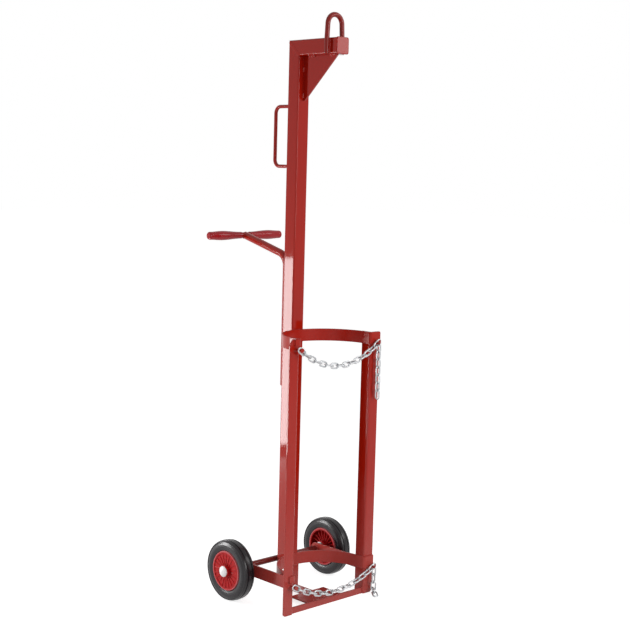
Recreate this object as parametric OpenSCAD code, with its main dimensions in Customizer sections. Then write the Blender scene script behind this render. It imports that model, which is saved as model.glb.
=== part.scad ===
// Gas cylinder trolley.
// A welded steel frame on two wheels: a tall rear mast with a lifting arm, a cradle of two angle
// uprights and two flat-bar bands, a base for the cylinder, and two retaining chains.
// Millimetres. +X to the right, +Y to the back, +Z up. The origin is on the floor, under the
// middle of the front base bar.

/* [Mast and lifting arm] */
// Height of the mast's top above the floor
mast_h = 1822; // [1650:1:2100]
// Width of the mast and arm tube across the trolley
tube_w = 50; // [40:1:60]
// Depth of the mast tube, which is also the height of the arm tube
tube_d = 50; // [40:1:70]
// Wall of the mast and arm tube
tube_wall = 3; // [2:0.5:4]
// Outside corner radius of the mast and arm tube
tube_corner = 5; // [4.5:0.5:8]
// Reach of the lifting arm in front of the mast
arm_reach = 174; // [160:1:260]
// Thickness of the plates that close the tube ends
end_plate = 3; // [2:0.5:6]
// Length of the gusset along the arm
gusset_run = 148; // [80:1:155]
// Length of the gusset down the mast
gusset_drop = 142; // [80:1:220]
// Thickness of the gusset plate
gusset_t = 6; // [4:0.5:10]
// Blunt width left at the gusset's two tips
gusset_nose = 7; // [4:1:15]
// Diameter of the lifting eye's rod
eye_rod = 16; // [10:1:18]
// Height of the rod's centre above the arm at the top of the eye
eye_h = 72; // [55:1:110]
// Lean of the eye's legs above the arm, in degrees, negative inwards
eye_lean = -3.2; // [-8:0.1:-0.5]
// Distance of the eye from the arm's free end
eye_setback = 39; // [20:1:80]

/* [Handles] */
// Diameter of the rod of the rear grab handle
grab_rod = 12; // [8:1:14]
// Distance of the grab handle's bar behind the mast
grab_reach = 82; // [60:1:120]
// Distance of the grab handle's lower leg below the mast's top
grab_drop = 404; // [380:1:500]
// Height of the grab handle between its legs
grab_h = 195; // [120:1:230]
// Bend radius of the grab handle
grab_bend = 22; // [12:1:35]
// Diameter of the tee handle's stem
stem_d = 25; // [20:1:32]
// Wall of the stem
stem_wall = 2; // [1.5:0.5:3]
// Height of the stem's lower end
stem_foot_z = 691; // [500:1:850]
// Upward slope of the stem's rear run, in degrees
stem_slope = 15; // [5:1:35]
// Bend radius of the stem
stem_bend = 45; // [35:1:70]
// Distance of the crossbar behind the mast
handle_reach = 227; // [160:1:300]
// Height of the crossbar
handle_z = 1181; // [1000:1:1260]
// Diameter of the crossbar
bar_d = 20; // [16:1:22]
// Clear length of the crossbar between the two grips
grip_gap = 36; // [36:1:90]
// Length of one grip
grip_len = 142; // [100:1:170]
// Grip diameter beside the stem
grip_neck_d = 23; // [23:1:27]
// Grip diameter at its belly
grip_belly_d = 32; // [28:1:40]
// Grip diameter at its outer end
grip_end_d = 27; // [25:1:32]

/* [Cradle] */
// Width between the inner faces of the two uprights
cradle_w = 320; // [280:1:380]
// Height of the uprights
upright_h = 886; // [600:1:1000]
// Leg of the uprights' angle section
angle_leg = 40; // [34:1:44]
// Thickness of the angle
angle_t = 5; // [4:0.5:6]
// Width of the corner clipped off the top of the left upright
left_clip_w = 13; // [4:1:15]
// Height of the corner clipped off the top of the left upright
left_clip_h = 19; // [4:1:30]
// Corner clipped off the top of the right upright and of the band in front of it
right_clip = 4; // [2:0.5:12]
// Rounding of the outer corner at the foot of the uprights
foot_round = 9; // [4:1:12]
// Outside radius of the angle's heel
heel_r = 6; // [6:0.5:8]
// Height of the flat bar of the bands
band_h = 40; // [30:1:60]
// Thickness of the flat bar of the bands
band_t = 5; // [4:0.5:6]
// Length of the bands' sides, from the uprights' front faces to the start of the half ring
band_side = 20; // [12:1:60]
// Length of the bands' left flanges
left_flange = 21; // [18:1:34]
// Height of the bands' left flanges, which are notched below the chain studs
left_flange_h = 21; // [14:1:26]
// Height of the front base bar
base_bar_h = 20; // [16:1:30]
// Thickness of the front base bar
base_bar_t = 6; // [4:0.5:10]
// Width of the base plate that carries the cylinder
base_w = 150; // [100:1:200]
// Length of the base plate behind the front base bar
base_len = 92; // [80:1:110]
// Width of the strap that runs back from the base plate and up to the lower band
strap_w = 50; // [30:1:80]
// Thickness of the base plate
base_t = 5; // [3:0.5:8]
// Height of the base plate's top
base_top_z = 15; // [10:1:16]

/* [Axle and wheels] */
// Diameter of the axle
axle_d = 20; // [16:1:25]
// Outside diameter of the tyres
tyre_d = 200; // [180:1:260]
// Width of the tyres
tyre_w = 45; // [36:1:56]
// Diameter of the tyre's seat on the wheel centre
seat_d = 130; // [120:1:150]
// Room between each side rail and the hub of its wheel, for the spacer and the washer
wheel_gap = 19; // [14:0.5:60]
// Length of the wheel hub
hub_len = 60; // [56:1:70]
// Diameter of the wheel hub
hub_d = 42; // [38:1:52]
// Ribs on each face of a wheel centre
rib_count = 20; // [6:1:24]
// Outside diameter of the bush in the hub
bush_d = 27; // [27:1:32]
// Running clearance of the bush on the axle, on the radius
bush_clear = 0.05; // [0.02:0.01:0.1]
// Diameter of the push-on cap at the axle's end
cap_d = 35; // [34:1:46]
// Height of the cap
cap_h = 9; // [7:0.5:14]
// Height of the flat bar of the side rails
rail_h = 40; // [34:1:60]
// Thickness of the side rails
rail_t = 5; // [4:0.5:8]

/* [Chains] */
// Wire diameter of the chain
wire = 5.5; // [5:0.1:5.6]
// Pitch of the chain
pitch = 26; // [25.6:0.1:26.6]
// Inside width of a link
link_in = 10; // [9.8:0.1:10.6]
// Play between two links
play = 0.4; // [0.3:0.05:0.6]
// Links of each span from the stud to the hook, an odd number; a wider cradle adds pairs of links
span_links = 15; // [15:2:17]
// Links of the upper chain's hanging tail
upper_tail_links = 7; // [4:1:10]
// Distance of the left chain studs outside the left upright's inner face
stud_out = 11; // [10:1:15]
// Height of the chain studs above the lower edges of the bands
stud_rise = 7; // [6:0.5:20]
// Distance of the upper tail outside the right upright's inner face
upper_tail_out = 21; // [18:1:26]
// Distance of the lower tail outside the right upright's inner face
lower_tail_out = 32; // [26:1:34]
// Stand-off of the chains' plane in front of the bands
chain_off = 12; // [11.5:0.5:18]
// Diameter of the chain studs
stud_d = 6; // [5:0.5:6]
// Diameter of the hooks' rod
hook_rod = 5; // [4:0.5:5]

/* [Hidden] */
$fn = 48;

RED = [0.66, 0.20, 0.16];
WHEEL_RED = [0.72, 0.14, 0.14];
RUBBER = [0.16, 0.15, 0.16];
ZINC = [0.80, 0.81, 0.82];
WHITE = [0.90, 0.90, 0.88];
NYLON = [0.85, 0.84, 0.80];

// Fine distances between pieces
weld_gap = 0.05;
side_gap = 0.3;
seat_gap = 0.1;

// Planes along Y
front_y = -(heel_r + base_bar_t / 2);
flange_y = front_y - band_t;
ring_y = front_y + band_side;
mast_y = ring_y + cradle_w / 2 + weld_gap;
mast_back_y = mast_y + tube_d;
axle_y = mast_back_y + axle_d / 2 + weld_gap;
arm_end_y = mast_y - arm_reach;
eye_y = arm_end_y + eye_setback;
stem_y = mast_back_y + stem_d / 2 + weld_gap;
bar_y = mast_back_y + handle_reach;
grab_y = mast_back_y + grab_reach;

// Heights
grab_z = mast_h - grab_drop;
axle_z = tyre_d / 2;
mast_foot_z = axle_z - axle_d / 2;
upper_band_z = upright_h - band_h;
upper_stud_z = upper_band_z + stud_rise;
rail_z = axle_z - rail_h / 2;

// Places along X
handle_w = grip_gap + 2 * grip_len;
heel_x = cradle_w / 2;
toe_x = heel_x + angle_leg;
rail_in_x = heel_x + angle_t;
rail_out_x = rail_in_x + rail_t;
wheel_x = rail_out_x + wheel_gap + hub_len / 2;
stud_x = heel_x + stud_out;
upper_tail_x = heel_x + upper_tail_out;
lower_tail_x = heel_x + lower_tail_out;
hub_in_x = wheel_x - hub_len / 2;
hub_out_x = wheel_x + hub_len / 2;
washer_t = 2.5;
washer_d = axle_d + 16;
spacer_wall = 4;
spacer_len = hub_in_x - side_gap - washer_t - rail_out_x;
axle_half = hub_out_x + side_gap + cap_h / 2;

// Chain geometry: a link is two straight sides and two half rings
link_len = pitch + play;
ring_r = (link_in + wire) / 2;
side_half = (link_len - link_in) / 2;
link_half_w = ring_r + wire / 2;
chain_y = flange_y - chain_off;
tail_drop = ring_r - wire / 2 - seat_gap * 3;
// The lower tail's hanging links end just over the floor, where one more link stands on its edge
lower_tail_links = 3;
lay_clear = 0.5;
lay_heading = 235;
lay_turn = 12.5;
lay_z = lay_clear + link_half_w;
floor_gap = lay_z - link_in / 2 + seat_gap * 5;
lower_stud_z = floor_gap + wire + link_len + (lower_tail_links - 1) * pitch + tail_drop;
lower_band_z = lower_stud_z - stud_rise;
// The stud sits close to the end of its link, and the hook past the middle of its link
stud_shift = 0.8;
hook_shift = 0.9;
hook_gap = 0.95;
hook_tip = 13;
hook_bend = 5;
stud_head_d = 14;
stud_head_t = 3;
// Room along the stud and the hook for a link that tilts as the chain swings out
tilt_room = 5;

// Bars bent along points in the XY plane, with one bend radius on the middle line
function unit(v) = v / norm(v);
function left_of(u) = [-u.y, u.x];
function turn(a, b, c) =
    let (u = unit(b - a), v = unit(c - b))
    atan2(u.x * v.y - u.y * v.x, u * v);
function cut(r, angle) = r * tan(abs(angle) / 2);
function turns_of(pts) =
    let (last = len(pts) - 1)
    [for (i = [0 : last]) (i == 0 || i == last) ? 0 : turn(pts[i - 1], pts[i], pts[i + 1])];

// Round rod: straight runs that reach a little into bends that are a hair thicker
swell = 0.04;
lap = 0.5;
module bent_rod(pts, r, d) {
    last = len(pts) - 1;
    turns = turns_of(pts);
    for (i = [0 : last - 1]) {
        u = unit(pts[i + 1] - pts[i]);
        from = cut(r, turns[i]) - (i == 0 ? 0 : lap);
        to = cut(r, turns[i + 1]) - (i == last - 1 ? 0 : lap);
        translate(pts[i] + u * from) rotate(atan2(u.y, u.x)) rotate([0, 90, 0])
            cylinder(d = d, h = norm(pts[i + 1] - pts[i]) - from - to);
    }
    for (i = [1 : last - 1]) {
        u = unit(pts[i] - pts[i - 1]);
        side = sign(turns[i]) * left_of(u);
        start = atan2(-side.y, -side.x);
        translate(pts[i] - u * cut(r, turns[i]) + side * r) rotate(min(start, start + turns[i]))
            rotate_extrude(angle = abs(turns[i])) translate([r, 0]) circle(d = d + 2 * swell);
    }
}

// Flat bar set on edge: the two edges of its outline follow the middle line at half its thickness
bend_steps = 8;
function corner(a, b, c, r, off) =
    let (u = unit(b - a), t = turn(a, b, c), n = sign(t) * left_of(u),
         centre = b - u * cut(r, t) + n * r, start = atan2(-n.y, -n.x), rad = r - sign(t) * off)
    [for (j = [0 : bend_steps])
     let (q = start + t * j / bend_steps) centre + rad * [cos(q), sin(q)]];
function edge(pts, r, off) =
    let (last = len(pts) - 1)
    [pts[0] + off * left_of(unit(pts[1] - pts[0])),
     for (i = [1 : last - 1]) each corner(pts[i - 1], pts[i], pts[i + 1], r, off),
     pts[last] + off * left_of(unit(pts[last] - pts[last - 1]))];
function backwards(v) = [for (i = [len(v) - 1 : -1 : 0]) v[i]];

module bent_flat(pts, r, t, h) {
    linear_extrude(h) polygon(concat(edge(pts, r, t / 2), backwards(edge(pts, r, -t / 2))));
}

// Turns a path drawn in XY so that it lies in the YZ plane, or in the XZ plane at a given Y
module in_yz() { rotate([90, 0, 90]) children(); }
module in_xz(y) { translate([0, y, 0]) rotate([90, 0, 0]) children(); }

// A box with four rounded edges along Z, and a rectangular tube made from two of them
module round_box(w, d, r, length) {
    for (x = [-1, 1], y = [-1, 1])
        translate([x * (w / 2 - r), y * (d / 2 - r), 0]) cylinder(r = r, h = length);
    translate([-w / 2, -d / 2 + r, 0]) cube([w, d - 2 * r, length]);
    translate([-w / 2 + r, -d / 2, 0]) cube([w - 2 * r, d, length]);
}

module box_tube(length) {
    difference() {
        round_box(tube_w, tube_d, tube_corner, length);
        translate([0, 0, -1])
            round_box(tube_w - 2 * tube_wall, tube_d - 2 * tube_wall,
                      tube_corner - tube_wall, length + 2);
    }
}

// Half space above and in front of the mitre between the mast and the arm
module mitre_cut(gap) {
    size = 2 * (arm_reach + tube_d);
    translate([0, mast_y, mast_h - tube_d]) rotate([45, 0, 0])
        translate([-size / 2, -size, gap]) cube([size, 2 * size, size]);
}

// Mast and lifting arm
module mast() {
    color(RED) difference() {
        translate([0, mast_y + tube_d / 2, mast_foot_z]) box_tube(mast_h - mast_foot_z);
        mitre_cut(0);
    }
}

module mast_foot_plate() {
    color(RED) translate([0, mast_y + tube_d / 2, mast_foot_z])
        round_box(tube_w - 2 * tube_wall - 2 * seat_gap, tube_d - 2 * tube_wall - 2 * seat_gap,
                  tube_corner - tube_wall, end_plate);
}

module lift_arm() {
    color(RED) intersection() {
        translate([0, arm_end_y + end_plate, mast_h - tube_d / 2]) rotate([-90, 0, 0])
            box_tube(arm_reach + tube_d - end_plate);
        mitre_cut(weld_gap);
    }
}

module arm_end_plate() {
    color(RED) translate([0, arm_end_y, mast_h - tube_d / 2]) rotate([-90, 0, 0])
        round_box(tube_w, tube_d, tube_corner, end_plate);
}

module arm_gusset() {
    under = mast_h - tube_d;
    color(RED) translate([-gusset_t / 2, 0, 0]) in_yz() linear_extrude(gusset_t)
        polygon([[mast_y, under], [mast_y - gusset_run, under],
                 [mast_y - gusset_run, under - gusset_nose],
                 [mast_y - gusset_nose, under - gusset_drop], [mast_y, under - gusset_drop]]);
}

module lifting_eye() {
    foot = tube_w / 2 + eye_rod / 2 + weld_gap;
    top = mast_h + eye_h;
    shoulder = foot + eye_h * tan(eye_lean);
    bend = shoulder / tan((90 + eye_lean) / 2) - lap;
    leg = [[foot, mast_h - tube_d], [foot, mast_h], [shoulder, top]];
    color(RED) in_xz(eye_y)
        bent_rod([for (p = leg) [-p.x, p.y], leg[2], leg[1], leg[0]], bend, eye_rod);
}

// Handles on the mast's back
module rear_grab_handle() {
    color(RED) in_yz()
        bent_rod([[mast_back_y, grab_z], [grab_y, grab_z],
                  [grab_y, grab_z + grab_h], [mast_back_y, grab_z + grab_h]],
                 grab_bend, grab_rod);
}

module handle_stem() {
    corner_z = handle_z - tan(stem_slope) * (bar_y - stem_y);
    path = [[stem_y, stem_foot_z], [stem_y, corner_z], [bar_y, handle_z]];
    color(RED) difference() {
        in_yz() bent_rod(path, stem_bend, stem_d);
        in_yz() bent_rod(path, stem_bend, stem_d - 2 * stem_wall);
        across(handle_w, bar_d / 2 + weld_gap);
    }
}

// A round bar along X at the crossbar's place
module across(length, r) {
    translate([-length / 2, bar_y, handle_z]) rotate([0, 90, 0]) cylinder(r = r, h = length);
}

module handle_crossbar() {
    color(RED) across(handle_w - 2 * grip_wall, bar_d / 2);
}

// A grip swells smoothly from its neck to its belly and falls again to its rounded end
grip_wall = 6;
grip_steps = 12;
belly_at = 0.62;
function ease(a, b, t) = a + (b - a) * (1 - cos(180 * t)) / 2;
function grip_r(t) = t < belly_at
    ? ease(grip_neck_d, grip_belly_d, t / belly_at) / 2
    : ease(grip_belly_d, grip_end_d, (t - belly_at) / (1 - belly_at)) / 2;

module grip(dir) {
    inner = handle_w / 2 - grip_len;
    round_r = 5;
    body = grip_len - round_r;
    end_r = grip_end_d / 2;
    color(RED) translate([0, bar_y, handle_z]) rotate([0, dir * 90, 0]) difference() {
        translate([0, 0, inner]) rotate_extrude()
            polygon([[0, 0], for (i = [0 : grip_steps]) [grip_r(i / grip_steps), body * i / grip_steps],
                     for (a = [30 : 30 : 90]) [end_r - round_r + round_r * cos(a), body + round_r * sin(a)],
                     [0, grip_len]]);
        cylinder(d = bar_d + 2 * seat_gap, h = handle_w / 2 - grip_wall);
    }
}

module left_grip() { grip(-1); }
module right_grip() { grip(1); }

// Cradle: uprights of angle with the heel at the front inner corner, and bands of flat bar
module upright(clip_w, clip_h) {
    mid = angle_t / 2;
    color(RED) difference() {
        bent_flat([[toe_x, front_y + mid], [heel_x + mid, front_y + mid],
                   [heel_x + mid, front_y + angle_leg]], heel_r - mid, angle_t, upright_h);
        clip_corner(clip_w, clip_h);
        foot_corner();
    }
}

// The corner taken off the top of an upright and off the band's end in front of it
module clip_corner(w, h) {
    in_xz(front_y + angle_t + 1) linear_extrude(angle_t + band_t + 2)
        polygon([[toe_x - w, upright_h], [toe_x, upright_h - h], [toe_x + 1, upright_h - h],
                 [toe_x + 1, upright_h + 1], [toe_x - w, upright_h + 1]]);
}

// The rounded outer corner at the foot of an upright
module foot_corner() {
    r = foot_round;
    steps = [for (i = [0 : bend_steps]) 90 * i / bend_steps];
    in_xz(front_y + angle_t + 1) linear_extrude(angle_t + 2)
        polygon([[toe_x - r, -1], for (q = steps) [toe_x - r + r * sin(q), r - r * cos(q)],
                 [toe_x + 1, r], [toe_x + 1, -1]]);
}

module left_upright() { on_left() upright(left_clip_w, left_clip_h); }
module right_upright() { upright(right_clip, right_clip); }

// A band is a half ring whose short straight sides turn outwards into flanges at the front
module band(z) {
    color(RED) translate([0, 0, z]) {
        translate([0, ring_y, 0]) rotate_extrude(angle = 180, $fn = 96)
            translate([heel_x - band_t, 0]) square([band_t, band_h]);
        band_end(angle_leg, band_h);
        on_left() band_end(left_flange, left_flange_h);
    }
}

module band_end(flange, flange_h) {
    r = heel_r - 1;
    low = band_h - flange_h;
    translate([heel_x - band_t, front_y + r, 0]) cube([band_t, band_side - r, band_h]);
    translate([heel_x + r, front_y + r, low]) rotate(180) rotate_extrude(angle = 90)
        translate([r, 0]) square([band_t, flange_h]);
    translate([heel_x + r, flange_y, low]) cube([flange - r, band_t, flange_h]);
}

module upper_band() {
    color(RED) difference() {
        band(upper_band_z);
        clip_corner(right_clip, right_clip);
    }
}

module lower_band() { band(lower_band_z); }

// Side rails run back from the uprights and end round about the axle
module side_rail() {
    start = front_y + angle_t + heel_r;
    color(RED) translate([rail_in_x, 0, 0]) difference() {
        union() {
            translate([0, start, rail_z]) cube([rail_t, axle_y - start, rail_h]);
            translate([0, axle_y, axle_z]) rotate([0, 90, 0]) cylinder(d = rail_h, h = rail_t);
        }
        translate([-1, axle_y, axle_z]) rotate([0, 90, 0])
            cylinder(r = axle_d / 2 + weld_gap, h = rail_t + 2);
    }
}

module left_side_rail() { on_left() side_rail(); }
module right_side_rail() { side_rail(); }

module base_bar() {
    color(RED) translate([-heel_x, -base_bar_t / 2, 0]) cube([cradle_w, base_bar_t, base_bar_h]);
}

// The base plate carries the cylinder; its strap is folded up in front of the mast to the lower band
module base_plate() {
    bottom = base_top_z - base_t;
    back = base_bar_t / 2 + base_len;
    color(RED) {
        translate([-base_w / 2, base_bar_t / 2, bottom]) cube([base_w, base_len, base_t]);
        translate([-strap_w / 2, 0, 0]) in_yz() linear_extrude(strap_w)
            polygon([[back, bottom], [mast_y, bottom], [mast_y, lower_band_z],
                     [mast_y - base_t, lower_band_z], [mast_y - base_t, base_top_z],
                     [back, base_top_z]]);
    }
}

// Axle and what sits on it. Each wheel piece is turned about the axle's line.
module on_axle(x) { translate([x, axle_y, axle_z]) rotate([0, 90, 0]) children(); }
module on_left() { mirror([1, 0, 0]) children(); }

module ring(outer, inner, length) {
    difference() {
        cylinder(r = outer, h = length);
        translate([0, 0, -1]) cylinder(r = inner, h = length + 2);
    }
}

module axle() {
    color(RED) on_axle(-axle_half) cylinder(d = axle_d, h = 2 * axle_half);
}

module axle_spacer() {
    color(RED) on_axle(rail_out_x)
        ring(axle_d / 2 + spacer_wall, axle_d / 2 + weld_gap, spacer_len);
}

module left_axle_spacer() { on_left() axle_spacer(); }
module right_axle_spacer() { axle_spacer(); }

module washer() {
    color(ZINC) on_axle(rail_out_x + spacer_len)
        ring(washer_d / 2, axle_d / 2 + weld_gap, washer_t);
}

module left_washer() { on_left() washer(); }
module right_washer() { washer(); }

// The cap is a shallow dome pushed over the axle's end
module hub_cap() {
    rise = cap_h - 3;
    dome_r = (pow(cap_d / 2, 2) + rise * rise) / (2 * rise);
    color(WHITE) on_axle(hub_out_x + side_gap) difference() {
        intersection() {
            cylinder(d = cap_d, h = cap_h);
            translate([0, 0, cap_h - dome_r]) sphere(r = dome_r, $fn = 96);
        }
        translate([0, 0, -1]) cylinder(r = axle_d / 2 + weld_gap, h = cap_h / 2 + 1 + weld_gap);
    }
}

module left_hub_cap() { on_left() hub_cap(); }
module right_hub_cap() { hub_cap(); }

// Tyre section: bulged walls up to a thin raised line, and a crowned tread with two grooves
module tyre() {
    half = tyre_w / 2;
    top = tyre_d / 2;
    seat = seat_d / 2 + seat_gap;
    wall = top - seat;
    bead = half - 4;
    groove = 2;
    line_r = top - 5;
    side = [[bead, seat], [bead + 2, seat + wall * 0.08], [half - 0.7, seat + wall * 0.24],
            [half, seat + wall * 0.4], [half - 0.4, seat + wall * 0.56],
            [half - 1.8, seat + wall * 0.7], [half - 3.4, line_r - 1.5], [half - 2.2, line_r - 0.8],
            [half - 2.2, line_r + 0.6], [half - 4.2, line_r + 1.6], [half - 6.5, line_r + 3]];
    tread = [[half * 0.5, top - 0.7], [half * 0.48, top - groove - 0.7],
             [half * 0.36, top - groove - 0.5], [half * 0.34, top - 0.5], [half * 0.12, top]];
    right = concat(side, tread);
    color(RUBBER) on_axle(wheel_x) rotate_extrude($fn = 96)
        polygon([for (p = right) [p.y, p.x], for (p = backwards(right)) [p.y, -p.x]]);
}

module left_tyre() { on_left() tyre(); }
module right_tyre() { tyre(); }

// Wheel centre: a hub, a web just inside the outer face stiffened by ribs, and a rim with a lip on each side
module wheel_centre() {
    rim_t = 5;
    rim_half = tyre_w / 2 - 4;
    lip = 4;
    web_t = 6;
    web_out = rim_half - 4;
    rib_t = 2.5;
    rib_in = rim_half - 6;
    rib_out = web_out + web_t + 1.5;
    seat = seat_d / 2;
    color(WHEEL_RED) on_axle(wheel_x) difference() {
        union() {
            translate([0, 0, -hub_len / 2]) cylinder(d = hub_d, h = hub_len);
            translate([0, 0, web_out]) cylinder(r = seat - rim_t / 2, h = web_t);
            translate([0, 0, -rim_half]) ring(seat, seat - rim_t, 2 * rim_half);
            for (s = [-1, 1]) translate([0, 0, s * (rim_half + lip / 2) - lip / 2])
                ring(seat - 1, seat - rim_t - 3, lip);
            for (i = [0 : rib_count - 1]) rotate(i * 360 / rib_count)
                translate([hub_d / 2 - 2, -rib_t / 2, -rib_in])
                    cube([seat - rim_t - hub_d / 2 + 3, rib_t, rib_in + rib_out]);
        }
        translate([0, 0, -hub_len]) cylinder(d = bush_d, h = 2 * hub_len);
    }
}

module left_wheel_centre() { on_left() wheel_centre(); }
module right_wheel_centre() { wheel_centre(); }

module wheel_bush() {
    color(NYLON) on_axle(hub_in_x)
        ring(bush_d / 2 - weld_gap, axle_d / 2 + bush_clear, hub_len);
}

module left_wheel_bush() { on_left() wheel_bush(); }
module right_wheel_bush() { wheel_bush(); }

// Chain link with its length along X, lying in XY
module link() {
    for (s = [-1, 1]) {
        translate([-side_half, s * ring_r, 0]) rotate([0, 90, 0])
            cylinder(d = wire, h = 2 * side_half, $fn = 24);
        translate([s * side_half, 0, 0]) rotate(s * 90 - 180)
            rotate_extrude(angle = 180) translate([ring_r, 0]) circle(d = wire, $fn = 24);
    }
}

// A hanging chain: each link carries an equal weight more than the one below it, so the tangent
// of its slope grows by equal steps. The step is found so that the chain spans the given width.
slack = 1.02;
function straight(n) = n * pitch + play - link_in;
function links_for(span) =
    span_links + 2 * max(0, ceil((span * slack - straight(span_links)) / (2 * pitch)));
function slope(n, k, i) = atan(k * (i - (n - 1) / 2));
function span_of(n, k) =
    2 * side_half * cos(slope(n, k, 0))
    + pitch * (cos(slope(n, k, 0))
    + 2 * sum_cos(n, k, 1));
function sum_cos(n, k, i) = i > n - 2 ? 0 : cos(slope(n, k, i)) / 2 + sum_cos(n, k, i + 1);
function find_step(n, span, low = 0, high = 1, tries = 0) =
    let (k = (low + high) / 2)
    tries > 30 ? k : span_of(n, k) > span ? find_step(n, span, k, high, tries + 1)
    : find_step(n, span, low, k, tries + 1);
function dir(a) = [cos(a), 0, sin(a)];
// Middle of link i, for a chain whose first ring is centred on the stud
function link_at(stud, n, k, i) = i == 0
    ? stud + side_half * dir(slope(n, k, 0))
    : link_at(stud, n, k, i - 1) + pitch / 2 * (dir(slope(n, k, i - 1)) + dir(slope(n, k, i)));

upper_stud = [-stud_x, chain_y, upper_stud_z];
lower_stud = [-stud_x, chain_y, lower_stud_z];
upper_links = links_for(stud_x + upper_tail_x);
lower_links = links_for(stud_x + lower_tail_x);
upper_step = find_step(upper_links, stud_x + upper_tail_x);
lower_step = find_step(lower_links, stud_x + lower_tail_x);

// Links turn a quarter round from one to the next; the first and last lie flat to the front
module span_link(stud, n, k, i) {
    translate(link_at(stud, n, k, i)) rotate([0, -slope(n, k, i), 0])
        rotate([i % 2 == 0 ? 90 : 0, 0, 0]) link();
}

module chain_span(stud, n, k) {
    color(ZINC) for (i = [0 : n - 1]) span_link(stud, n, k, i);
}

// Tail hanging from the hooked link's outer ring, each link turned a little further about the tail
module tail_links(ring_z, x, count, turn) {
    top = ring_z - tail_drop - link_len / 2;
    color(ZINC) for (j = [0 : count - 1])
        translate([x, chain_y, top - j * pitch]) rotate(turn * j) rotate([0, 90, 0])
            rotate([j % 2 == 0 ? 0 : 90, 0, 0]) link();
}

module upper_chain() { chain_span(upper_stud, upper_links, upper_step); }
module lower_chain() { chain_span(lower_stud, lower_links, lower_step); }
module upper_chain_tail() { tail_links(upper_stud_z, upper_tail_x, upper_tail_links, 0); }

// The lower tail goes on along the floor: a link on its edge, and a link leaning on that one
module lower_chain_tail() {
    tail_links(lower_stud_z, lower_tail_x, lower_tail_links, lay_turn);
    reach = side_half + ring_r;
    edge_at = link_in / 2;
    inset = (ring_r - wire - play) / sqrt(2);
    high = lay_z - inset;
    low = lay_clear + wire / 2;
    dip = asin((high - low) / (2 * reach));
    flat_at = edge_at + side_half + inset + reach * cos(dip);
    color(ZINC) translate([lower_tail_x, chain_y, 0]) rotate(lay_heading) {
        translate([edge_at, 0, lay_z]) rotate([90, 0, 0]) link();
        translate([flat_at, 0, (high + low) / 2]) rotate([0, dip, 0]) link();
    }
}

// Stud with a head for the chain's fixed end, and a hook for the end that is hung up
module chain_stud(stud, n, k) {
    head_y = chain_y - wire / 2 - tilt_room;
    at = stud - stud_shift * dir(slope(n, k, 0));
    color(RED) translate([at.x, 0, at.z]) {
        translate([0, front_y, 0]) rotate([90, 0, 0]) cylinder(d = stud_d, h = front_y - head_y);
        translate([0, head_y, 0]) rotate([90, 0, 0]) cylinder(d = stud_head_d, h = stud_head_t);
    }
}

module upper_chain_stud() { chain_stud(upper_stud, upper_links, upper_step); }
module lower_chain_stud() { chain_stud(lower_stud, lower_links, lower_step); }

module chain_hook(stud, n, k) {
    last = n - 1;
    a = slope(n, k, last);
    lift = link_in / 2 - hook_rod / 2 - hook_gap;
    at = link_at(stud, n, k, last) - hook_shift * dir(a) + lift * [-sin(a), 0, cos(a)];
    tip_y = chain_y - wire / 2 - tilt_room - hook_bend;
    color(RED) translate([at.x, 0, 0]) in_yz()
        bent_rod([[flange_y, at.z], [tip_y, at.z], [tip_y, at.z + hook_tip]], hook_bend, hook_rod);
}

module upper_chain_hook() { chain_hook(upper_stud, upper_links, upper_step); }
module lower_chain_hook() { chain_hook(lower_stud, lower_links, lower_step); }

mast();
mast_foot_plate();
lift_arm();
arm_end_plate();
arm_gusset();
lifting_eye();
rear_grab_handle();
handle_stem();
handle_crossbar();
left_grip();
right_grip();
left_upright();
right_upright();
upper_band();
lower_band();
left_side_rail();
right_side_rail();
base_bar();
base_plate();
axle();
left_axle_spacer();
right_axle_spacer();
left_washer();
right_washer();
left_hub_cap();
right_hub_cap();
left_tyre();
right_tyre();
left_wheel_centre();
right_wheel_centre();
left_wheel_bush();
right_wheel_bush();
upper_chain_stud();
lower_chain_stud();
upper_chain_hook();
lower_chain_hook();
upper_chain();
lower_chain();
upper_chain_tail();
lower_chain_tail();
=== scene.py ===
"""Gas cylinder trolley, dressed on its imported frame."""

import bpy
import numpy as np
from mathutils import Matrix, Vector


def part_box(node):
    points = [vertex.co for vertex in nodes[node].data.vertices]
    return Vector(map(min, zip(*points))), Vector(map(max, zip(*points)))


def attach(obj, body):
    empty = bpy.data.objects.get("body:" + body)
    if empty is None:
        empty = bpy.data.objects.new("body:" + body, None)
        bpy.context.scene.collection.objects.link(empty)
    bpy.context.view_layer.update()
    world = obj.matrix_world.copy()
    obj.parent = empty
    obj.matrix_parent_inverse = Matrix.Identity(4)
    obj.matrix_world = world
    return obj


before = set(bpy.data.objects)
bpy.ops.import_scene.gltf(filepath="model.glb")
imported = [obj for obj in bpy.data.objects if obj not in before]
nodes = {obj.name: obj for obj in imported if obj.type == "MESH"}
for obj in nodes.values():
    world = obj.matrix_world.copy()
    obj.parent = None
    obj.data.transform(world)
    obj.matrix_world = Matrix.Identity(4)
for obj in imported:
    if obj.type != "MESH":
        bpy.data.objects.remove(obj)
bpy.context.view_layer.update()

# Camera: at the front left, a little over chest height, looking slightly down.
# Its place, turn, tilt, roll and lens were solved from the edges of the trolley.
place = Vector((-2.8770, -2.9084, 1.4158))
turn, tilt, roll = np.radians((43.80, 6.51, 1.51))
ahead = Vector((np.sin(turn) * np.cos(tilt), np.cos(turn) * np.cos(tilt), -np.sin(tilt)))
level = Vector((np.cos(turn), -np.sin(turn), 0.0))
over = level.cross(ahead)
right = level * np.cos(roll) + over * np.sin(roll)
up = over * np.cos(roll) - level * np.sin(roll)
lens = bpy.data.cameras.new("camera")
lens.sensor_fit = "HORIZONTAL"
lens.sensor_width = 36.0
lens.lens = 73.68
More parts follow.
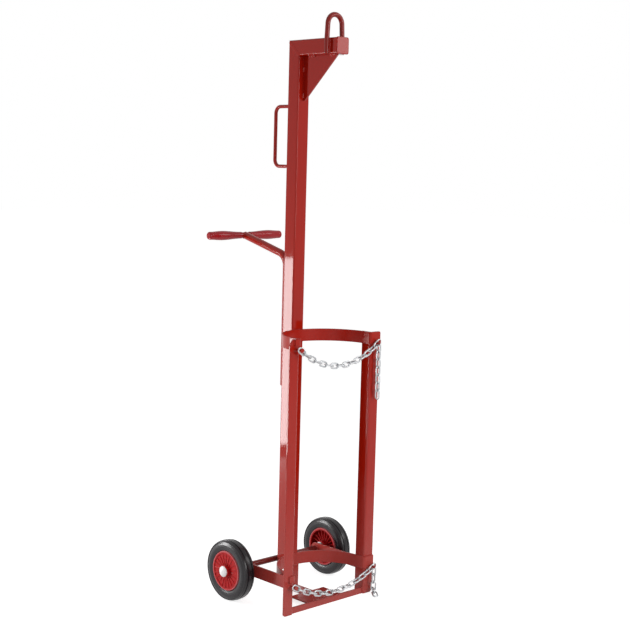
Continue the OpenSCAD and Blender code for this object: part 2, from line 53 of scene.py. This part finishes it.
lens.clip_end = 60.0
camera = bpy.data.objects.new("camera", lens)
camera.matrix_world = Matrix((right, up, -ahead)).transposed().to_4x4()
camera.location = place
bpy.context.scene.collection.objects.link(camera)
bpy.context.scene.camera = camera
bpy.context.scene.view_settings.view_transform = "Standard"


# Studio: a plain white floor that runs to the horizon under an even white sky. Soft boxes in front
# and high at the right light the front, a low panel at the left rear shines along the left faces, and
# a small low box fills in the foot of the near upright.
class Wire:
    """A shader socket that takes part in sums: an operator between two of these, or between one and a
    number, adds one Math node and gives its result."""

    def __init__(self, tree, socket=None):
        self.tree, self.socket = tree, socket

    def node(self, kind, settings, values, out=0):
        """Any other node: its type, its settings, and the values or links of its sockets."""
        made = self.tree.nodes.new(kind)
        for key, value in settings.items():
            setattr(made, key, value)
        for key, value in values.items():
            if isinstance(value, Wire):
                self.tree.links.new(value.socket, made.inputs[key])
            else:
                made.inputs[key].default_value = value
        return Wire(self.tree, made.outputs[out])

    def sum(self, operation, a, b):
        return self.node("ShaderNodeMath", {"operation": operation}, {0: a, 1: b})

    def __add__(self, other):
        return self.sum("ADD", self, other)

    def __sub__(self, other):
        return self.sum("SUBTRACT", self, other)

    def __rsub__(self, other):
        return self.sum("SUBTRACT", other, self)

    def __mul__(self, other):
        return self.sum("MULTIPLY", self, other)

    __radd__, __rmul__ = __add__, __mul__

    def clamp(self):
        return self.node("ShaderNodeClamp", {}, {0: self})

    def grain(self, scale, detail=2.0):
        """Noise from 0 to 1 on these coordinates, at a scale in cells a metre."""
        return self.node("ShaderNodeTexNoise", {}, {"Vector": self, "Scale": scale, "Detail": detail})

    def blend(self, a, b):
        """Colour a where this is 0, colour b where it is 1."""
        return self.node("ShaderNodeMix", {"data_type": "RGBA"}, {0: self, 6: a, 7: b}, out=2)


def seen_straight(tree):
    """1 on the rays that show the background itself, in the picture, in gloss or through glass."""
    kinds = ("Is Camera Ray", "Is Glossy Ray", "Is Transmission Ray")
    path = tree.nodes.new("ShaderNodeLightPath")
    picture, gloss, glass = (Wire(tree, path.outputs[kind]) for kind in kinds)
    return (picture + gloss + glass).clamp()


floor_grey, floor_glow, floor_reach, sky_light = 0.62, 0.79, 30.0, 0.36
paper = bpy.data.materials.new("white_floor")
paper.use_nodes = True
sheet = paper.node_tree
sheet.nodes.remove(sheet.nodes["Principled BSDF"])
matt = Wire(sheet).node("ShaderNodeBsdfDiffuse", {}, {"Color": (floor_grey, floor_grey, floor_grey, 1.0)})
glow = matt.node("ShaderNodeEmission", {}, {"Strength": seen_straight(sheet) * floor_glow})
white = matt.node("ShaderNodeAddShader", {}, {0: matt, 1: glow})
sheet.links.new(white.socket, sheet.nodes["Material Output"].inputs["Surface"])

ground = bpy.data.meshes.new("floor")
square = ((-1, -1), (1, -1), (1, 1), (-1, 1))
ground.from_pydata([(x * floor_reach, y * floor_reach, 0.0) for x, y in square], [], [(0, 1, 2, 3)])
ground.materials.append(paper)
floor = bpy.data.objects.new("floor", ground)
bpy.context.scene.collection.objects.link(floor)

sky = bpy.data.worlds.new("sky")
sky.use_nodes = True
air = sky.node_tree.nodes["Background"]
air.inputs["Color"].default_value = (1.0, 1.0, 1.0, 1.0)
shine = sky_light + seen_straight(sky.node_tree) * (1.0 - sky_light)
sky.node_tree.links.new(shine.socket, air.inputs["Strength"])
bpy.context.scene.world = sky


def soft_light(name, place, aim, size, power):
    """A rectangular light of this size in metres, turned to aim, that the camera itself can't see."""
    lamp = bpy.data.lights.new(name, "AREA")
    lamp.shape = "RECTANGLE"
    lamp.size, lamp.size_y = size
    lamp.energy = power
    made = bpy.data.objects.new(name, lamp)
    made.location = place
    made.rotation_euler = (Vector(aim) - Vector(place)).to_track_quat("-Z", "Y").to_euler()
    made.visible_camera = False
    bpy.context.scene.collection.objects.link(made)


soft_light("front_box", (0.45, -3.3, 1.75), (0.0, 0.1, 0.75), (1.6, 1.6), 47.0)
soft_light("high_box", (2.7, -2.8, 2.75), (0.0, 0.0, 1.2), (1.4, 1.4), 27.0)
soft_light("rear_panel", (-1.42, 1.66, 0.52), (-0.02, 0.2, 0.52), (0.5, 0.92), 28.0)
soft_light("low_box", (-1.05, -0.95, 0.30), (-0.19, 0.0, 0.14), (0.45, 0.35), 2.2)


# Mast: a stock square tube, the spine that everything is welded to, closed at its foot by a plate.
# The whole frame is sprayed with one red enamel over the welds, gone thin and dull along sharp edges.
def finish(name, build):
    """A material whose Principled sockets come from build(object coordinates), as a dictionary."""
    made = bpy.data.materials.new(name)
    made.use_nodes = True
    tree = made.node_tree
    shader = tree.nodes["Principled BSDF"]
    at = Wire(tree, tree.nodes.new("ShaderNodeTexCoord").outputs["Object"])
    for key, value in build(at).items():
        if isinstance(value, Wire):
            tree.links.new(value.socket, shader.inputs[key])
        else:
            shader.inputs[key].default_value = value
    return made


def coat(material, *names):
    """Puts a material on the CAD nodes of these names."""
    for name in names:
        nodes[name].data.materials.clear()
        nodes[name].data.materials.append(material)


def corners(name):
    """The lowest and highest corners of a CAD node at rest, as two rows."""
    return np.array(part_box(name))


def sharp_edge_mask(at, radius):
    """0 on flat faces, rising towards edges sharper than the radius, and the softened normal there."""
    soft = at.node("ShaderNodeBevel", {"samples": 6}, {"Radius": radius})
    true = at.node("ShaderNodeNewGeometry", {}, {}, out=1)
    flat = at.node("ShaderNodeVectorMath", {"operation": "DOT_PRODUCT"}, {0: soft, 1: true}, out=1)
    return 1.0 - flat, soft


def red_enamel(at, polish=0.035, edges=True):
    """Deep red with slow shifts of tone, orange-peel skin, a pale grey film near the floor that is a painted
    reflection of the white floor, and thin paint along sharp edges, where there are any. Polish is the
    roughness of the clean paint."""
    deep, light = (0.375, 0.0085, 0.0022, 1.0), (0.435, 0.0125, 0.0036, 1.0)
    thin, sheen_tint, sheen_below = (0.20, 0.035, 0.028, 1.0), (0.62, 0.45, 0.42, 1.0), 0.42
    edge, soft = sharp_edge_mask(at, 0.0016) if edges else (0.0, None)
    slow, blot, peel, sheen_patchiness = at.grain(3.0), at.grain(38.0, 4.0), at.grain(700.0, 1.0), at.grain(160.0, 5.0)
    height = at.node("ShaderNodeSeparateXYZ", {}, {0: at}, out=2)
    worn = (edge * 7.0 + blot * 1.4 - 0.95).clamp()
    # Painted reflection of the white floor: the enamel turns paler, greyer and rougher towards the floor, in
    # patches.
    greying = ((sheen_below - height) * 2.2).clamp() * (0.55 + sheen_patchiness * 0.9)
    colour = (greying * 0.13).blend((worn * 0.5).blend(slow.blend(deep, light), thin), sheen_tint)
    rough = polish + blot * 0.035 + worn * 0.32 + greying * 0.14
    relief = {"Height": peel + blot * 0.8, "Distance": 0.00022, "Strength": 0.02}
    bump = at.node("ShaderNodeBump", {}, relief | ({"Normal": soft} if edges else {}))
    return {"Base Color": colour, "Roughness": rough, "Normal": bump, "Specular IOR Level": 0.23}


enamel = finish("red_enamel", red_enamel)
weld_enamel = finish("weld_enamel", lambda at: red_enamel(at, 0.16, edges=False))
coat(enamel, "mast", "mast_foot_plate")
mast_low, mast_high = corners("mast")


# Lifting arm: the same tube, mitred to the mast's top and closed at its free end by a plate. Its seams
# are dressed almost flush, so they show only as low, soft strips under the paint.
def line(a, b):
    """A straight path, as its two ends."""
    return np.array([a, b], dtype=float)


def bead(path, out, r, low=1.0, pitch=0.0024, closed=False, swell=0.14):
    """A weld bead: a round section of radius r, squeezed to low times r along out, carried along the path.
    Its radius swells once every pitch, later at the flanks than on the crown, so the ripples lie like fish
    scales, it wanders a little in width, and an open bead runs out round at both ends. A swell of 0 gives a
    bead that has been ground smooth."""
    rows_per_ripple, least_rows, sides = 5.0, 12, 12
    steps = np.r_[0.0, np.cumsum(np.linalg.norm(np.diff(path, axis=0), axis=1))]
    count = max(int(steps[-1] / (pitch / rows_per_ripple)), least_rows)
    s = np.linspace(0.0, steps[-1], count + 1)
    spine = np.stack([np.interp(s, steps, path[:, k]) for k in range(3)], axis=1)
    along = np.gradient(spine, axis=0)
    if closed:
        along[0] = along[-1] = spine[1] - spine[-2]
    along /= np.linalg.norm(along, axis=1, keepdims=True)
    out = np.broadcast_to(np.asarray(out, dtype=float), spine.shape)
    crown = out - along * (out * along).sum(axis=1, keepdims=True)
    crown /= np.linalg.norm(crown, axis=1, keepdims=True)
    flank = np.cross(along, crown)
    a = np.linspace(0.0, 2 * np.pi, sides, endpoint=False)
    lag = 0.55 * r * np.sin(a)[None, :] ** 2
    ripple = 0.5 + 0.5 * np.cos(2 * np.pi * (s[:, None] + lag) / pitch)
    if closed:
        width = np.ones_like(s)
    else:
        wander = 1.0 + 0.05 * np.sin(s / 0.0061 + 1.7) + 0.04 * np.sin(s / 0.0023 + path[0, 2] * 900.0)
        gone = np.clip(np.minimum(s, s[-1] - s) / r, 0.0, 1.0)
        width = wander * np.sqrt(np.maximum(1.0 - (1.0 - gone) ** 2, 0.0004))
    radius = r * (1.0 - 0.7 * swell + swell * ripple) * width[:, None]
    return (spine[:, None, :] + (radius * np.cos(a) * low)[..., None] * crown[:, None, :]
            + (radius * np.sin(a))[..., None] * flank[:, None, :])


def weld(name, beads, closed=False):
    """One painted piece of the trolley from beads, which are grids of points, each wrapped round its columns.
    Its rows are joined end to end where closed is set, and otherwise each end is closed by a fan to the
    middle of its last row."""
    points, faces, base = [], [], 0
    for grid in beads:
        rows, cols = grid.shape[:2]
        if closed:
            grid, rows = grid[:-1], rows - 1
        i, j = np.meshgrid(np.arange(rows if closed else rows - 1), np.arange(cols), indexing="ij")
        i2, j2 = (i + 1) % rows, (j + 1) % cols
        quads = np.stack([i * cols + j, i * cols + j2, i2 * cols + j2, i2 * cols + j], axis=-1)
        faces += (base + quads.reshape(-1, 4)).tolist()
        points.append(grid.reshape(-1, 3))
        if not closed:
            first, last = base + np.arange(cols), base + (rows - 1) * cols + np.arange(cols)
            pole = base + rows * cols
            faces += np.stack([np.full(cols, pole), np.roll(first, -1), first], axis=1).tolist()
            faces += np.stack([np.full(cols, pole + 1), last, np.roll(last, -1)], axis=1).tolist()
            points.append(np.stack([grid[0].mean(axis=0), grid[-1].mean(axis=0)]))
            base += 2
        base += rows * cols
    mesh = bpy.data.meshes.new(name)
    mesh.from_pydata(np.concatenate(points).tolist(), [], faces)
    mesh.polygons.foreach_set("use_smooth", np.ones(len(mesh.polygons), dtype=bool))
    mesh.update()
    mesh.materials.append(weld_enamel)
    piece = bpy.data.objects.new(name, mesh)
    bpy.context.scene.collection.objects.link(piece)
    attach(piece, "trolley")


coat(enamel, "lift_arm", "arm_end_plate")
plate_low, plate_high = corners("arm_end_plate")
half_w, under, top = mast_high[0], plate_low[2], plate_high[2]
mitre_in, mitre_out, mitre_r = 0.001, 0.004, 0.0060
seams = []
for s in (-1, 1):
    heel = (s * half_w, mast_low[1] + mitre_in, under + mitre_in)
    toe = (s * half_w, mast_high[1] - mitre_out, top - mitre_out)
    seams.append(bead(line(heel, toe), (s, 0.0, 0.0), mitre_r, low=0.03, swell=0.0))
weld("arm_seams", seams)

corner_r, lip_r, seam_y = 0.005, 0.0016, plate_high[1]
quarter = np.linspace(0.0, np.pi / 2, 9)
arc = np.stack([np.cos(quarter), np.sin(quarter)], axis=1) * corner_r
inner = np.array([half_w - corner_r, (top - under) / 2 - corner_r])
walk = np.concatenate([arc + inner, arc[::-1] * (-1, 1) + inner * (-1, 1), -arc - inner,
                       arc[::-1] * (1, -1) + inner * (1, -1)])
walk = np.concatenate([walk, walk[:1]])
around = np.stack([walk[:, 0], np.full(len(walk), seam_y), walk[:, 1] + (under + top) / 2], axis=1)
weld("arm_end_weld", [bead(around, (0.0, -1.0, 0.0), lip_r, low=0.8, closed=True, swell=0.07)], closed=True)

# Gusset: a triangle of plate in the corner of mast and arm, held by short stitches of weld on both its
# sides, two under the arm and two down the mast.
coat(enamel, "arm_gusset")
web_low, web_high = corners("arm_gusset")
proud, coarse = 0.0006, 0.0036
runs = ((web_low[1] - 0.002, 0.030), (web_high[1] - 0.055, 0.032))
drops = ((web_low[2] + 0.006, 0.018), (web_high[2] - 0.052, 0.018))
tacks = []
for s in (-1, 1):
    x, y, z = s * (web_high[0] + proud), mast_low[1] - proud, under - proud
    tacks += [bead(line((x, start, z), (x, start + length, z)), (s, 0.0, -1.0), 0.0054, pitch=coarse)
              for start, length in runs]
    tacks += [bead(line((x, y, start), (x, y, start + length)), (s, -1.0, 0.0), 0.0046, pitch=coarse)
              for start, length in drops]
weld("gusset_welds", tacks)


# Lifting eye: one round bar bent to a loop, its two legs laid against the arm's sides and welded along
# both flanks of each leg. Its paint is darkened with painted shade.
def shaded_enamel(at, depth):
    """The frame's enamel, darkened with painted shade: by this share everywhere, and by more in patches."""
    paint, shade_patches, painted_shade = red_enamel(at), at.grain(26.0, 4.0), (0.030, 0.005, 0.005, 1.0)
    # Painted shade: a near-black red laid over the enamel, heavier in patches.
    return paint | {"Base Color": (depth + shade_patches * 0.4).blend(paint["Base Color"], painted_shade)}


# Painted shade: the eye's enamel is darkened all over and more in patches.
coat(finish("eye_enamel", lambda at: shaded_enamel(at, 0.14)), "lifting_eye")
eye_y = corners("lifting_eye").mean(axis=0)[1]
leg_x, flank_y, leg_r = half_w + 0.0010, 0.0061, 0.0048
flanks = []
for s in (-1, 1):
    for t in (-1, 1):
        x, y = s * leg_x, eye_y + t * flank_y
        leg = line((x, y, under + 0.003), (x, y, top - 0.004))
        flanks.append(bead(leg, (s, t * 0.6, 0.0), leg_r, pitch=0.0042))
weld("eye_welds", flanks)


# Rear grab handle: thin round bar of steel, bent to a long bow. It is welded to the mast's back all round
# both its ends.
def ring(centre, radius, axis):
    """Points once round a circle about an axis that runs along x, y or z."""
    angle = np.linspace(0.0, 2 * np.pi, 49)
    u, v = {"x": (1, 2), "y": (2, 0), "z": (0, 1)}[axis]
    points = np.tile(np.array(centre, dtype=float), (len(angle), 1))
    points[:, u] += radius * np.cos(angle)
    points[:, v] += radius * np.sin(angle)
    return points


coat(enamel, "rear_grab_handle")
grab_low, grab_high = corners("rear_grab_handle")
back, grab_r = mast_high[1], 0.006
collars = [bead(ring((0.0, back + 0.0008, z), grab_r + 0.001, "y"), (0.0, 1.0, 0.0), 0.0024, closed=True)
           for z in (grab_low[2] + grab_r, grab_high[2] - grab_r)]
weld("grab_welds", collars, closed=True)

# Tee handle: a bent tube stitched to the mast's back, with a crossbar set into its end. The plastic
# grips are moulded sleeves, swollen in the middle, glossier and darker than the paint.
coat(enamel, "handle_stem", "handle_crossbar")
stem_low, bar = corners("handle_stem")[0], corners("handle_crossbar").mean(axis=0)
stitch_x, stitch_y, stitch_long = 0.0062, back + 0.0012, 0.026
stitches = []
for s in (-1, 1):
    for z in (stem_low[2] + 0.004, stem_low[2] + 0.19, stem_low[2] + 0.37):
        stitch = line((s * stitch_x, stitch_y, z), (s * stitch_x, stitch_y, z + stitch_long))
        stitches.append(bead(stitch, (s, 1.0, 0.0), 0.0026))
slope, stem_r, bar_r = np.radians(15.0), 0.0125, 0.010
q = np.linspace(-0.90, 0.90, 41)
rise = stem_r * np.sin(q)
away = np.sqrt(np.maximum(bar_r ** 2 - rise ** 2, 0.0)) + proud
for s in (-1, 1):
    saddle = np.stack([s * (stem_r * np.cos(q) + proud),
                       bar[1] - away * np.cos(slope) - rise * np.sin(slope),
                       bar[2] - away * np.sin(slope) + rise * np.cos(slope)], axis=1)
    stitches.append(bead(saddle, (s, -0.4, 0.0), 0.0022))
weld("stem_welds", stitches)


def grip_plastic(at):
    """Crimson moulded plastic, polished by hands, with a fine moulded grain."""
    slow, fine, rub = at.grain(14.0, 3.0), at.grain(420.0, 2.0), at.grain(55.0, 4.0)
    colour = slow.blend((0.32, 0.009, 0.013, 1.0), (0.42, 0.012, 0.018, 1.0))
    bump = at.node("ShaderNodeBump", {}, {"Height": fine + rub, "Distance": 0.0002, "Strength": 0.3})
    return {"Base Color": colour, "Roughness": 0.10 + rub * 0.10, "Normal": bump, "Specular IOR Level": 0.22}


coat(finish("grip_plastic", grip_plastic), "left_grip", "right_grip")

# Uprights and bands: two lengths of rolled angle, heel to the front, and two flat bars bent to half
# rings. The bands are welded to the mast behind and to the uprights' legs and front faces, and use has
# rubbed their paint dull.
coat(enamel, "left_upright", "right_upright")
coat(finish("band_enamel", lambda at: red_enamel(at, 0.24)), "upper_band", "lower_band")
leg_low, leg_high = corners("right_upright")
root_x, fillet_r, inset, snug = 0.0215, 0.0030, 0.002, 0.0005
cradle = []
for band in ("upper_band", "lower_band"):
    low, high = corners(band)
    z0, z1 = low[2] + inset, high[2] - inset
    for s in (-1, 1):
        x, y = s * root_x, mast_low[1] - proud
        cradle.append(bead(line((x, y, z0), (x, y, z1)), (s, -0.5, 0.0), fillet_r))
        x, y = s * (leg_low[0] + proud), leg_high[1] + proud
        cradle.append(bead(line((x, y, z0), (x, y, z1)), (s, 1.0, 0.0), 0.0023, swell=0.03))
    x, y = low[0] - snug, leg_low[1] - snug
    cradle.append(bead(line((x, y, z1 - 0.017), (x, y, z1)), (-1.0, -1.0, 0.0), 0.0024, swell=0.03))
weld("band_welds", cradle)

# Base: a flat bar on edge between the uprights' feet, and a seat plate behind it, with a strap folded up
# to the lower band. All of it is welded.
coat(enamel, "base_bar", "base_plate")
sill_low, sill_high = corners("base_bar")
seat_high = corners("base_plate")[1]
tread_z, foot_z, thin_r = 0.015, 0.003, 0.0026
y, z = sill_high[1] + proud, tread_z + 0.0004
base = [bead(line((x, y, z), (x + 0.028, y, z)), (0.0, 1.0, 1.0), thin_r) for x in (-0.070, -0.014, 0.042)]
for s in (-1, 1):
    x, y0, y1 = s * (sill_high[0] - snug), sill_low[1] - snug, sill_high[1] + snug
    hoop = np.array([(x, y0, foot_z), (x, y0, sill_high[2]), (x, y1, sill_high[2] + 0.0004), (x, y1, foot_z)])
    base.append(bead(hoop, (-s, 0.0, 0.0), thin_r, low=0.8))
y, z = seat_high[1] - 0.0056, seat_high[2] - 0.0008
base.append(bead(line((-0.021, y, z), (0.021, y, z)), (0.0, -1.0, -1.0), thin_r))
weld("base_welds", base)

# Side rails and axle: flat bars welded to the uprights' legs and round the axle, which lies against the
# mast's back and is welded to it above and below. Short spacers keep the wheels off the rails, and the
# axle and spacers are darkened with painted shade.
coat(enamel, "left_side_rail", "right_side_rail")
# Painted shade: the axle and its spacers get a much darker enamel.
axle_enamel = finish("axle_enamel", lambda at: shaded_enamel(at, 0.42))
coat(axle_enamel, "axle", "left_axle_spacer", "right_axle_spacer")
rail_low, rail_high = corners("right_side_rail")
axle_low, axle_high = corners("axle")
hub, axle_r = (axle_low + axle_high) / 2, (axle_high[2] - axle_low[2]) / 2
rails, collars = [], []
for s in (-1, 1):
    x, y0, y1 = s * (rail_low[0] + snug), rail_low[1] + 0.003, leg_high[1] - inset
    for z, out in ((rail_low[2] - snug, -1.0), (rail_high[2] + snug, 1.0)):
        rails.append(bead(line((x, y0, z), (x, y1, z)), (s, 0.0, out), fillet_r))
    y, z0, z1 = rail_low[1] - snug, rail_low[2] + inset, rail_high[2] - inset
    rails.append(bead(line((x, y, z0), (x, y, z1)), (s, -1.0, 0.0), fillet_r))
    collar = ring((s * (rail_low[0] - proud), hub[1], hub[2]), axle_r + 0.0008, "x")
    collars.append(bead(collar, (-s, 0.0, 0.0), thin_r, closed=True))
for z in (hub[2] + 0.0066, hub[2] - 0.0066):
    rails.append(bead(line((-0.020, stitch_y, z), (0.020, stitch_y, z)), (0.0, 0.6, z - hub[2]), fillet_r))
weld("rail_welds", rails)
weld("axle_welds", collars, closed=True)


# Wheels: solid rubber tyres on moulded red centres, with a nylon bush in each hub. White caps are
# pushed over the axle's ends, outside, and a plated washer runs inside.
def tyre_rubber(at):
    """Black rubber, greyed by dust and by a slight bloom, with a fine moulded grain."""
    slow, greying, fine = at.grain(9.0, 3.0), at.grain(70.0, 5.0), at.grain(650.0, 2.0)
    colour = (greying * 0.6 + slow * 0.4).blend((0.006, 0.005, 0.0062, 1.0), (0.021, 0.0172, 0.0208, 1.0))
    bump = at.node("ShaderNodeBump", {}, {"Height": fine + greying, "Distance": 0.0003, "Strength": 0.35})
    return {"Base Color": colour, "Roughness": 0.19 + greying * 0.10, "Normal": bump, "Specular IOR Level": 0.33}


def wheel_plastic(at):
    """Red moulding with a mottled face, a painted highlight of lighter red along its sharp edges, and a
    painted pale highlight on the lip where it holds the tyre. The lip is all that lies further from the
    wheel's middle than its radius less its width."""
    dark, bright, edge_highlight_red, highlight_pink = ((0.29, 0.004, 0.006, 1.0), (0.56, 0.011, 0.012, 1.0), (0.60, 0.05, 0.05, 1.0),
                                (0.62, 0.16, 0.17, 1.0))
    edge, soft = sharp_edge_mask(at, 0.0009)
    slow, fine, mottle = at.grain(20.0, 3.0), at.grain(500.0, 2.0), at.grain(150.0, 3.0)
    low, high = corners("left_wheel_centre")
    middle, lip_r, lip_w = (low + high) / 2, (high[2] - low[2]) / 2, 0.0045
    flat = at.node("ShaderNodeVectorMath", {"operation": "MULTIPLY"}, {0: at, 1: (0.0, 1.0, 1.0)})
    spread = at.node("ShaderNodeVectorMath", {"operation": "DISTANCE"},
                     {0: flat, 1: (0.0, *middle[1:])}, out=1)
    # Painted highlight: a pale pink ring on the lip, where light catches the rim.
    lip_highlight = ((spread - (lip_r - lip_w)) * 600.0).clamp() * (0.55 + slow * 0.5)
    red = ((mottle - 0.5) * 2.2 + 0.5).clamp().blend(dark, bright)
    # Painted highlight: a lighter red along the moulding's sharp edges.
    red = (edge * 2.2 + slow * 0.2 - 0.1).clamp().blend(red, edge_highlight_red)
    relief = {"Height": fine, "Distance": 0.0002, "Strength": 0.3, "Normal": soft}
    bump = at.node("ShaderNodeBump", {}, relief)
    return {"Base Color": lip_highlight.blend(red, highlight_pink), "Roughness": 0.24 + slow * 0.14, "Normal": bump,
            "Specular IOR Level": 0.14}


def cap_plastic(at):
    """White moulded plastic with a faint cloud."""
    slow, fine = at.grain(60.0, 3.0), at.grain(700.0, 2.0)
    colour = slow.blend((0.90, 0.90, 0.90, 1.0), (0.95, 0.95, 0.95, 1.0))
    bump = at.node("ShaderNodeBump", {}, {"Height": fine, "Distance": 0.0001, "Strength": 0.2})
    return {"Base Color": colour, "Roughness": 0.28 + slow * 0.15, "Normal": bump}


def nylon(at):
    """Natural nylon, cream and waxy."""
    slow = at.grain(50.0, 3.0)
    return {"Base Color": slow.blend((0.62, 0.60, 0.53, 1.0), (0.72, 0.70, 0.64, 1.0)),
            "Roughness": 0.4 + slow * 0.15}


coat(finish("tyre_rubber", tyre_rubber), "left_tyre", "right_tyre")
coat(finish("wheel_plastic", wheel_plastic), "left_wheel_centre", "right_wheel_centre")
coat(finish("cap_plastic", cap_plastic), "left_hub_cap", "right_hub_cap")
coat(finish("nylon", nylon), "left_wheel_bush", "right_wheel_bush")


# Chains: welded steel links, barrel plated in bright zinc, as the washers are. Each chain hangs from a
# headed stud at the left and is hung up on a hook at the right, both welded to the bands' flanges.
def bright_zinc(at):
    """Plated steel with a faint cloud and fine scratches."""
    cloud, fine = at.grain(120.0, 4.0), at.grain(1100.0, 2.0)
    colour = cloud.blend((0.38, 0.39, 0.405, 1.0), (0.58, 0.59, 0.60, 1.0))
    bump = at.node("ShaderNodeBump", {}, {"Height": fine, "Distance": 0.00015, "Strength": 0.3})
    return {"Base Color": colour, "Metallic": 1.0, "Roughness": 0.2 + cloud * 0.22, "Normal": bump}


coat(enamel, "upper_chain_stud", "lower_chain_stud", "upper_chain_hook", "lower_chain_hook")
coat(finish("bright_zinc", bright_zinc), "upper_chain", "lower_chain", "upper_chain_tail",
     "lower_chain_tail", "left_washer", "right_washer")
stud_r, hook_r = 0.003, 0.0025
roots = []
for name, radius in (("upper_chain_stud", stud_r), ("lower_chain_stud", stud_r),
                     ("upper_chain_hook", hook_r), ("lower_chain_hook", hook_r)):
    low, high = corners(name)
    z = low[2] + radius if "hook" in name else (low[2] + high[2]) / 2
    root = ring(((low[0] + high[0]) / 2, high[1] - 0.0004, z), radius + snug, "y")
    roots.append(bead(root, (0.0, -1.0, 0.0), 0.0014, pitch=0.0019, closed=True))
weld("stud_welds", roots, closed=True)
